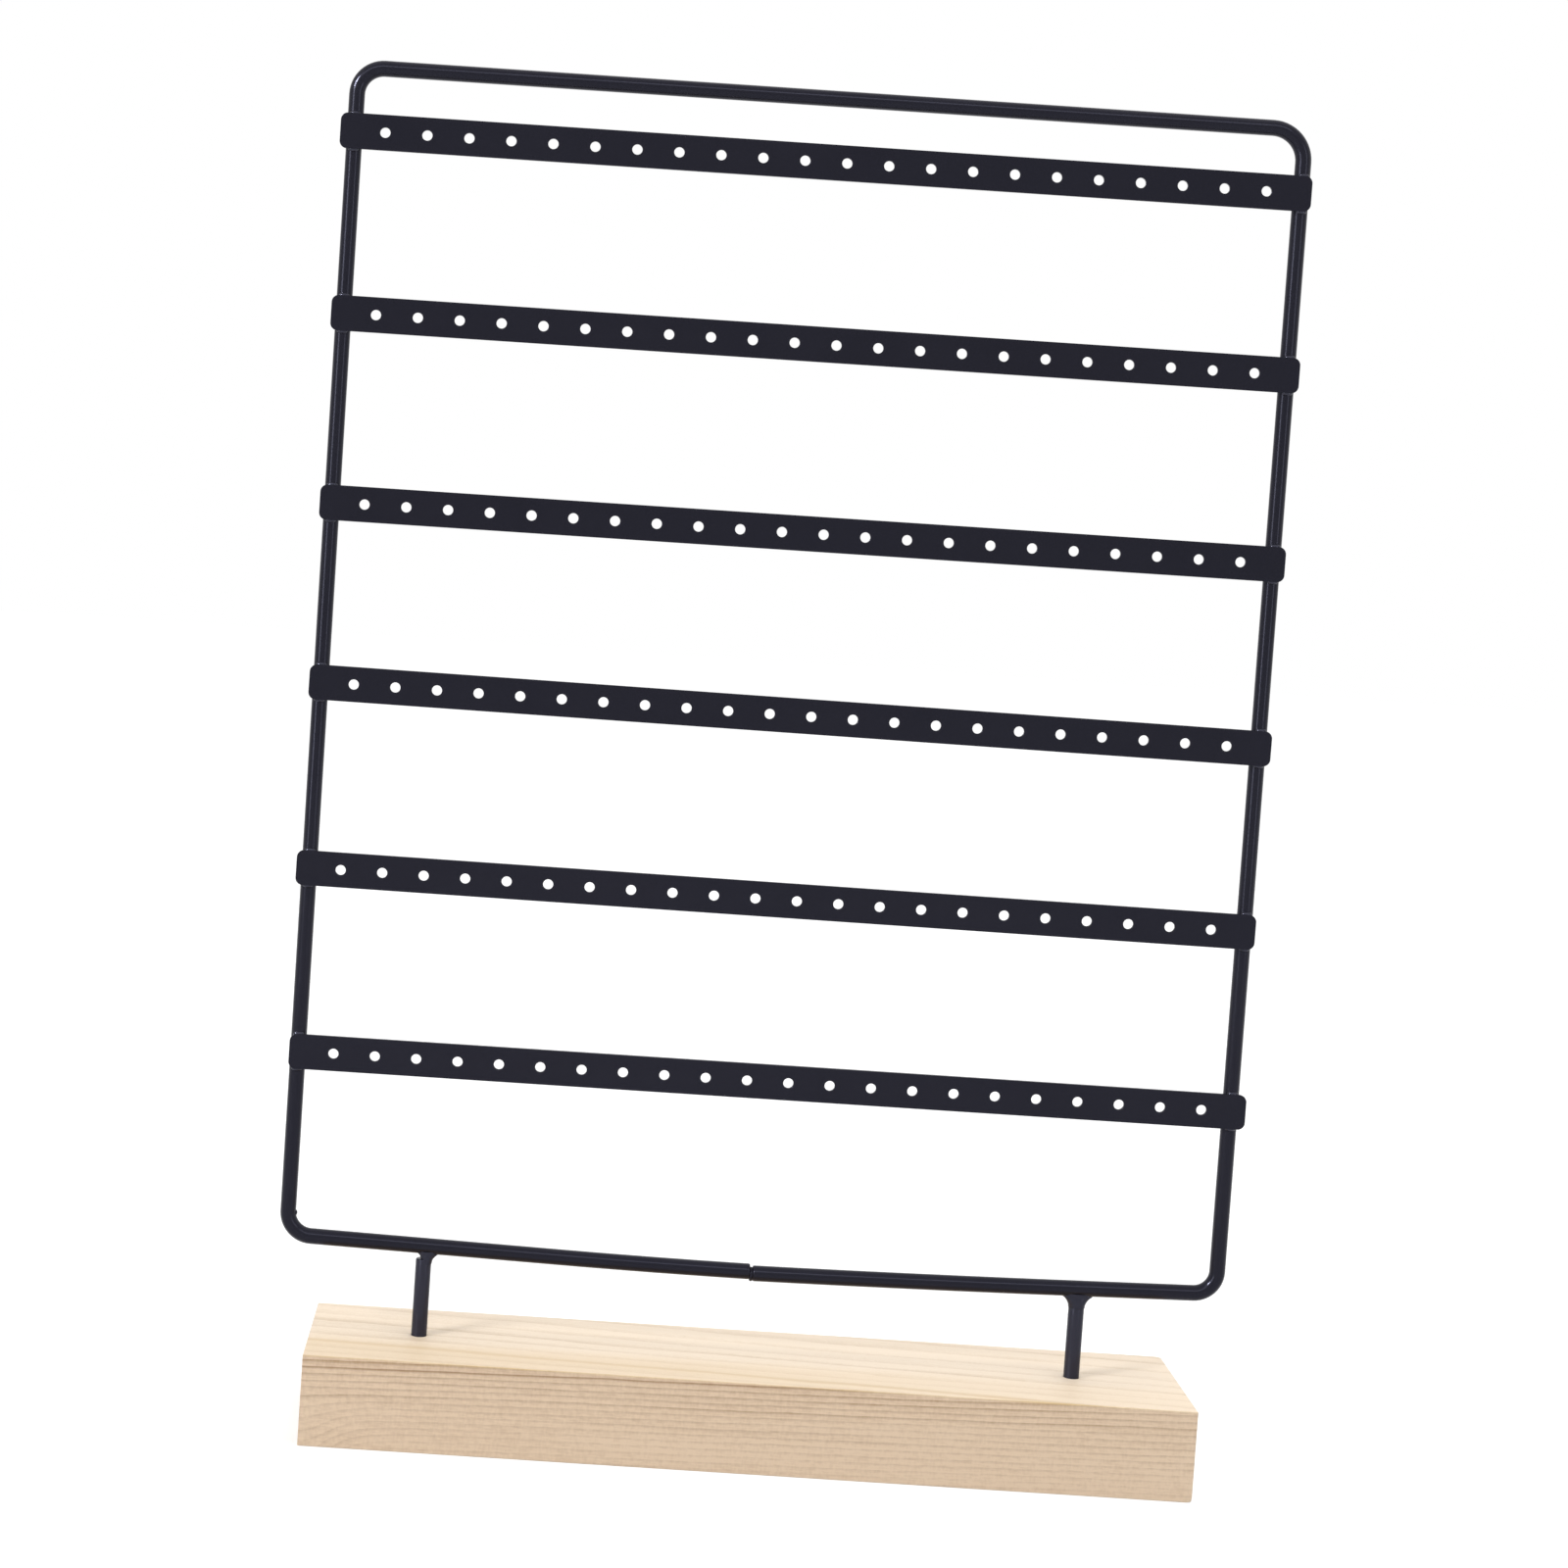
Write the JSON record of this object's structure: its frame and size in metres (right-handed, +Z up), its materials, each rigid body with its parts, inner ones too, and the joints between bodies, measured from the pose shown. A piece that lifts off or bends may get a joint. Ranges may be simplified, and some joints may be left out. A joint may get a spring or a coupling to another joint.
{
  "type": "earring display stand",
  "caption": "Free-standing earring display: a bent round-wire frame with perforated flat bars welded across its front, on two short legs let into a pale wooden block.",
  "frame": {"origin": "middle of the wooden block's underside, on the surface that the stand rests on", "axes": "+Z up, +X along the bars to the right as seen from the front, +Y to the back; the bars are on the -Y side of the wire"},
  "size_m": [0.256, 0.05, 0.3607],
  "materials": {
    "pale_wood": "smooth, unvarnished pale pine",
    "black_coat": "satin black powder coat on steel",
    "coated_weld": "weld metal under the same satin black coat"
  },
  "bodies": {
    "root": {"base_block": "pale_wood", "left_leg": "black_coat", "right_leg": "black_coat", "wire_frame": "black_coat", "bar_1": "black_coat", "bar_2": "black_coat", "bar_3": "black_coat", "bar_4": "black_coat", "bar_5": "black_coat", "bar_6": "black_coat", "left_leg_weld": "coated_weld", "right_leg_weld": "coated_weld", "joint_weld": "coated_weld", "bar_welds": "coated_weld"}
  },
  "joints": []
}
